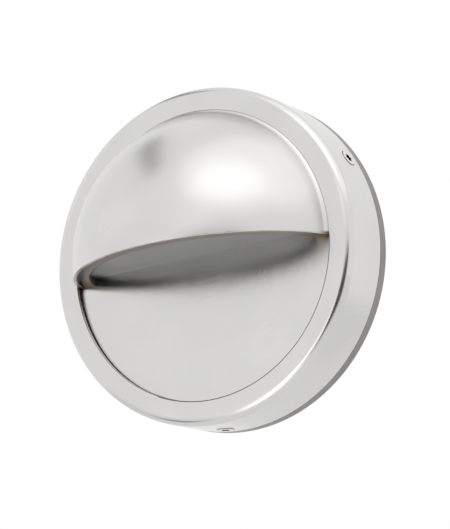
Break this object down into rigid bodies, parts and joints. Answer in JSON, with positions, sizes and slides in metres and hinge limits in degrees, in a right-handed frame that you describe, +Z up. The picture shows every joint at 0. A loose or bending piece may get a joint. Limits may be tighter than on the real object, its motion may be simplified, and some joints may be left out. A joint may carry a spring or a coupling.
{
  "type": "step light",
  "caption": "Round surface-mounted eyelid step light: a shallow brushed steel cover with a ball-shaped hood that throws light down over a flat lower plate.",
  "frame": {"origin": "centre of the back plate's face that lies on the wall", "axes": "+Z up the wall, +Y into the wall, the hood looks towards -Y, +X to the right as seen from the front"},
  "size_m": [0.14, 0.0732, 0.1404],
  "materials": {
    "cover_steel": "satin brushed stainless steel",
    "hood_steel": "satin brushed stainless steel",
    "plate_steel": "turned stainless steel",
    "bezel_steel": "stainless steel with a warm heat tint from welding",
    "base_metal": "die-cast aluminium, darker and matt",
    "spring_steel": "plain spring steel",
    "cover_screw_steel": "stainless steel, bead blasted",
    "screw_steel": "zinc-plated steel",
    "frame_aluminium": "plain sheet aluminium",
    "heat_sink_aluminium": "extruded aluminium",
    "brass": "plain brass",
    "rubber": "black silicone rubber",
    "frosted_lens": "frosted polycarbonate",
    "reflector_white": "white moulded plastic",
    "terminal_plastic": "natural nylon",
    "driver_plastic": "white moulded plastic",
    "connector_plastic": "black nylon",
    "circuit_board": "green solder resist",
    "led_board_white": "white solder resist on a metal core",
    "led_yellow": "phosphor under clear resin",
    "component_black": "sleeved components"
  },
  "bodies": {
    "base": {"base_plate": "base_metal", "base_collar": "base_metal", "wall_gasket": "rubber", "cover_seal": "rubber", "cable_grommet": "rubber", "terminal_block": "terminal_plastic", "terminal_screws": "brass", "earth_stud": "brass", "earth_washer": "screw_steel", "earth_nut": "brass", "driver_case": "driver_plastic", "driver_board": "circuit_board", "driver_parts": "component_black", "driver_lid": "driver_plastic", "driver_lid_screws": "screw_steel", "driver_case_screws": "screw_steel", "connector_socket": "connector_plastic"},
    "cover": {"cover_shell": "cover_steel", "insert_gasket": "rubber", "hood_dome": "hood_steel", "eyelid_plate": "plate_steel", "lens_shelf": "plate_steel", "circlip": "spring_steel", "hood_bezel": "bezel_steel", "lens_gasket": "rubber", "lens": "frosted_lens", "lens_frame": "frame_aluminium", "lens_frame_screws": "screw_steel", "reflector": "reflector_white", "led_board": "led_board_white", "led_chips": "led_yellow", "board_screws": "screw_steel", "heat_sink": "heat_sink_aluminium", "heat_sink_screws": "screw_steel", "connector_plug": "connector_plastic"},
    "screw_right": {"cover_screw_right": "cover_screw_steel", "cover_screw_seal_right": "rubber"},
    "screw_left": {"cover_screw_left": "cover_screw_steel", "cover_screw_seal_left": "rubber"},
    "screw_bottom": {"cover_screw_bottom": "cover_screw_steel", "cover_screw_seal_bottom": "rubber"}
  },
  "joints": [
    {"name": "cover_slide", "type": "slide", "parent": "base", "child": "cover", "axis": [0, -1, 0], "range_m": [0, 0.04]},
    {"name": "screw_right_slide", "type": "slide", "parent": "cover", "child": "screw_right", "axis": [0.8996, 0, 0.4368], "range_m": [0, 0.01]},
    {"name": "screw_left_slide", "type": "slide", "parent": "cover", "child": "screw_left", "axis": [-0.8281, 0, 0.5606], "range_m": [0, 0.01]},
    {"name": "screw_bottom_slide", "type": "slide", "parent": "cover", "child": "screw_bottom", "axis": [-0.0715, 0, -0.9974], "range_m": [0, 0.01]}
  ]
}
